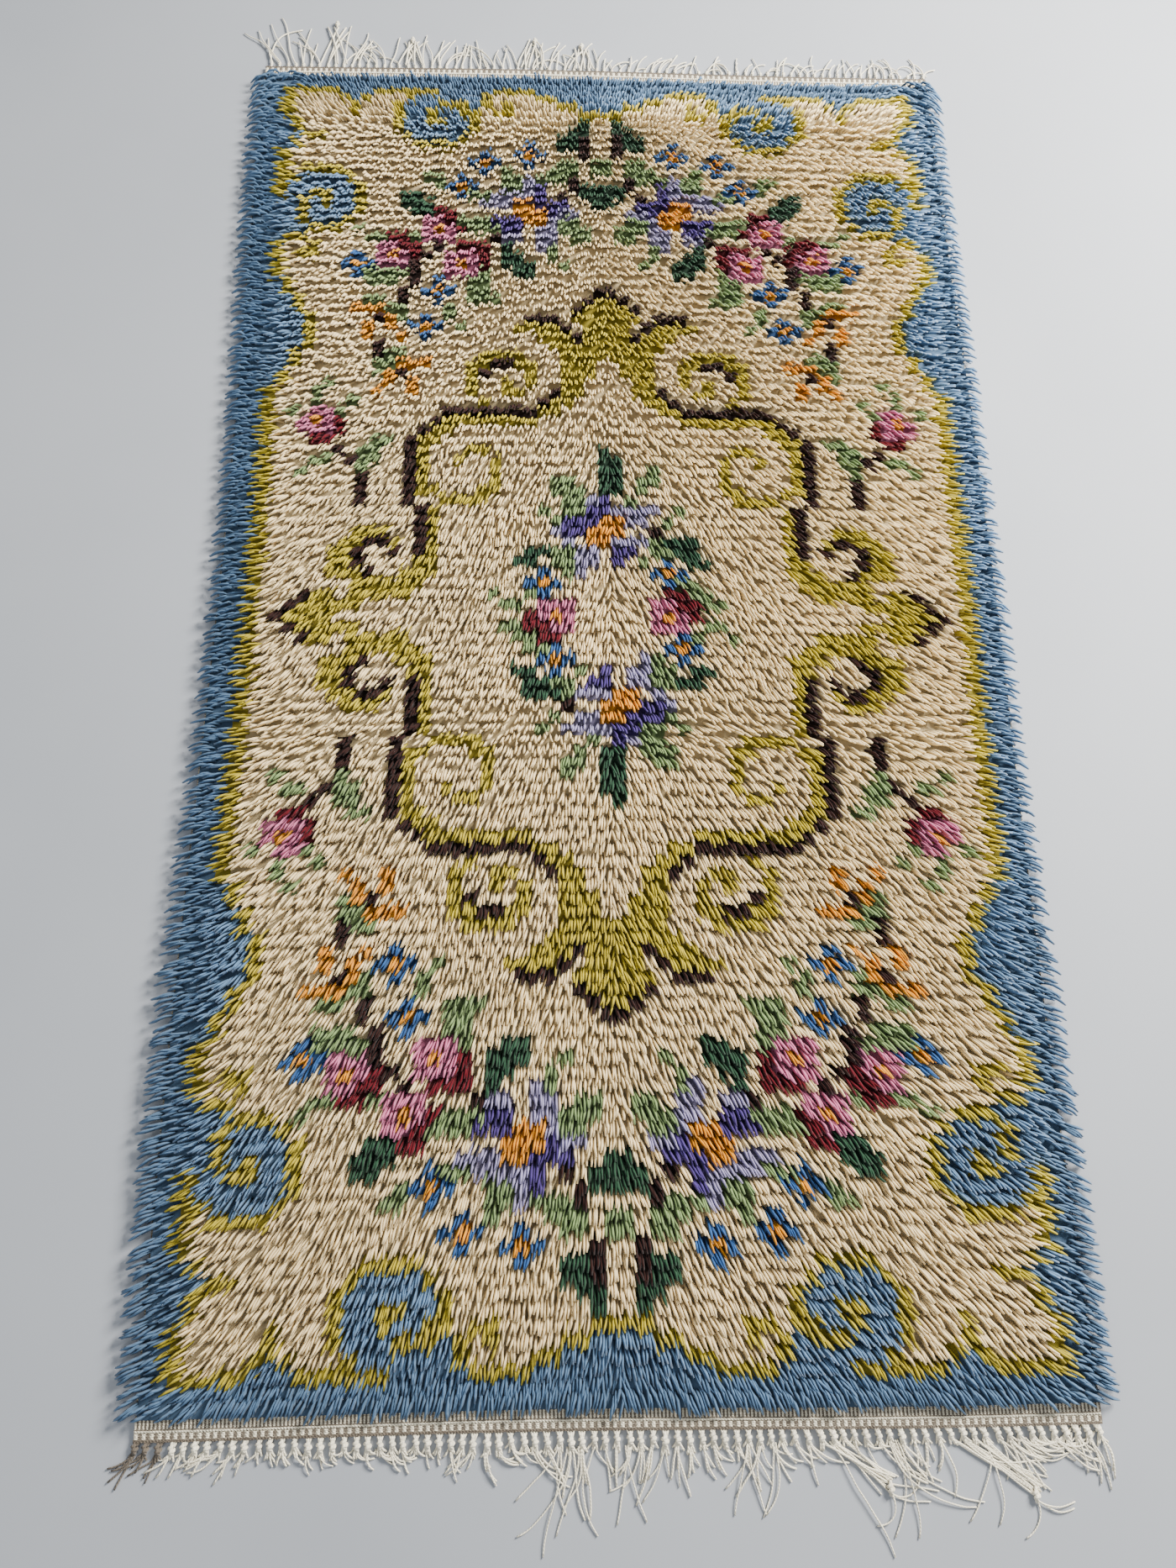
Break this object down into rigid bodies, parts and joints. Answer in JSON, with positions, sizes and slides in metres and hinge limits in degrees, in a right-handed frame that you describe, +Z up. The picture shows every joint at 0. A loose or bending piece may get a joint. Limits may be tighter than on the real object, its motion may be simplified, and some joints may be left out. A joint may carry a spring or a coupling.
{
  "type": "floral knotted pile rug",
  "caption": "Rectangular shaggy wool pile rug on a flat woven ground, with flat-woven heading bands and a knotted cotton warp fringe at each end.",
  "frame": {"origin": "middle of the ground weave's underside, on the floor", "axes": "+X across the rug, +Y along its length towards the back fringe, +Z up out of the pile"},
  "size_m": [0.7421, 1.4103, 0.0175],
  "materials": {
    "cotton_ground": "matt flat weave of cream and grey-brown cotton",
    "wool_pile": "soft matt wool yarn",
    "cotton_warp": "matt plied cotton"
  },
  "bodies": {
    "root": {"ground_weave": "cotton_ground", "pile": "wool_pile", "fringe_front": "cotton_warp", "fringe_back": "cotton_warp"}
  },
  "joints": []
}
